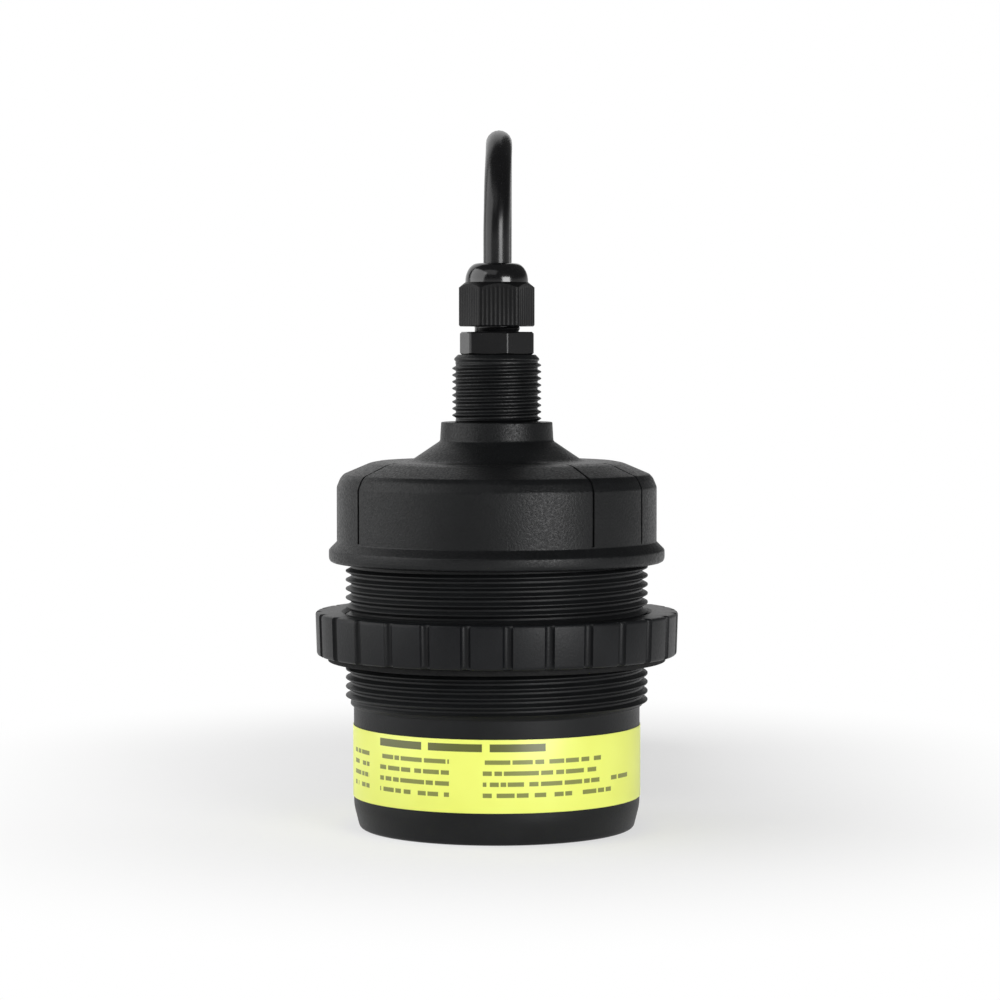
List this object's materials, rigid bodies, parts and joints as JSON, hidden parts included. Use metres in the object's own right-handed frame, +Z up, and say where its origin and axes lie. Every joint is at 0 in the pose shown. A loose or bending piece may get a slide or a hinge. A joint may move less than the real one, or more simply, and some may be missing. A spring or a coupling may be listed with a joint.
{
  "type": "ultrasonic level sensor",
  "caption": "Round ultrasonic level sensor standing on its nose, with a threaded barrel, fluted locknut, label band, stepped cap, threaded neck, cable gland and tied lead.",
  "frame": {"origin": "centre of the nose's lower end, where the sensor stands", "axes": "+Z up the housing's axis towards the cable gland; the middle of the label faces -Y; the lead falls behind, at +Y"},
  "size_m": [0.0816, 0.205, 0.1577],
  "materials": {
    "housing_abs": "moulded ABS, satin",
    "cap_abs": "moulded ABS, fine spark-eroded grain",
    "locknut_abs": "moulded ABS, satin",
    "label_film": "printed polyester film",
    "seal_rubber": "moulded rubber",
    "gland_nylon": "moulded nylon, glossy",
    "cable_jacket": "extruded soft PVC",
    "disc_epoxy": "cast epoxy with glass bubbles",
    "piezo_ceramic": "sintered ceramic",
    "damping_cork": "cork rubber",
    "backing_resin": "cast resin",
    "probe_resin": "dipped resin",
    "plated_steel": "zinc plated",
    "board_laminate": "solder mask",
    "chip_resin": "moulded resin",
    "transformer_ferrite": "sintered ferrite",
    "capacitor_can": "sleeved can",
    "terminal_nylon": "moulded nylon",
    "tie_nylon": "moulded nylon",
    "core_red": "extruded PVC",
    "core_black": "extruded PVC",
    "core_yellow": "extruded PVC",
    "core_blue": "extruded PVC",
    "core_green": "extruded PVC"
  },
  "bodies": {
    "housing": {"barrel": "housing_abs", "rating_label": "label_film", "top_cap": "cap_abs", "cap_seal_ring": "seal_rubber", "gland_body": "gland_nylon", "radiating_disc": "disc_epoxy", "piezo_disc": "piezo_ceramic", "damping_ring": "damping_cork", "backing": "backing_resin", "piezo_leads": "core_red", "temperature_probe": "probe_resin", "lower_pillars": "plated_steel", "drive_board": "board_laminate", "processor_chip": "chip_resin", "amplifier_chip": "chip_resin", "pulse_transformer": "transformer_ferrite", "drive_capacitors": "capacitor_can", "board_link": "chip_resin", "upper_pillars": "plated_steel", "supply_board": "board_laminate", "board_screws": "plated_steel", "supply_inductor": "transformer_ferrite", "supply_capacitor": "capacitor_can", "terminal_block": "terminal_nylon", "core_red": "core_red", "core_black": "core_black", "core_yellow": "core_yellow", "core_blue": "core_blue", "core_green": "core_green", "cable_inner": "cable_jacket", "cable_free": "cable_jacket", "cable_hank": "cable_jacket", "hank_tie": "tie_nylon", "end_red": "core_red", "end_black": "core_black", "end_yellow": "core_yellow", "end_blue": "core_blue", "end_green": "core_green"},
    "washer": {"sealing_washer": "seal_rubber"},
    "nut": {"locknut": "locknut_abs"},
    "seal": {"gland_seal": "seal_rubber"},
    "dome": {"gland_nut": "gland_nylon"}
  },
  "joints": [
    {"name": "locknut_travel", "type": "slide", "parent": "housing", "child": "washer", "axis": [0, 0, 1], "range_m": [-0.009, 0.011]},
    {"name": "locknut_turn", "type": "hinge", "parent": "washer", "child": "nut", "pos_m": [0, 0, 0.0438], "axis": [0, 0, 1], "range_deg": [-1620, 1980]},
    {"name": "dome_nut_travel", "type": "slide", "parent": "housing", "child": "seal", "axis": [0, 0, 1], "range_m": [-0.001, 0.003]},
    {"name": "dome_nut_turn", "type": "hinge", "parent": "seal", "child": "dome", "pos_m": [0, 0, 0.118], "axis": [0, 0, 1], "range_deg": [-240, 720]}
  ],
  "couplings": [
    {"joint": "locknut_turn", "follows": "locknut_travel", "rad_per_m": 3141.6},
    {"joint": "dome_nut_turn", "follows": "dome_nut_travel", "rad_per_m": 4188.8}
  ]
}
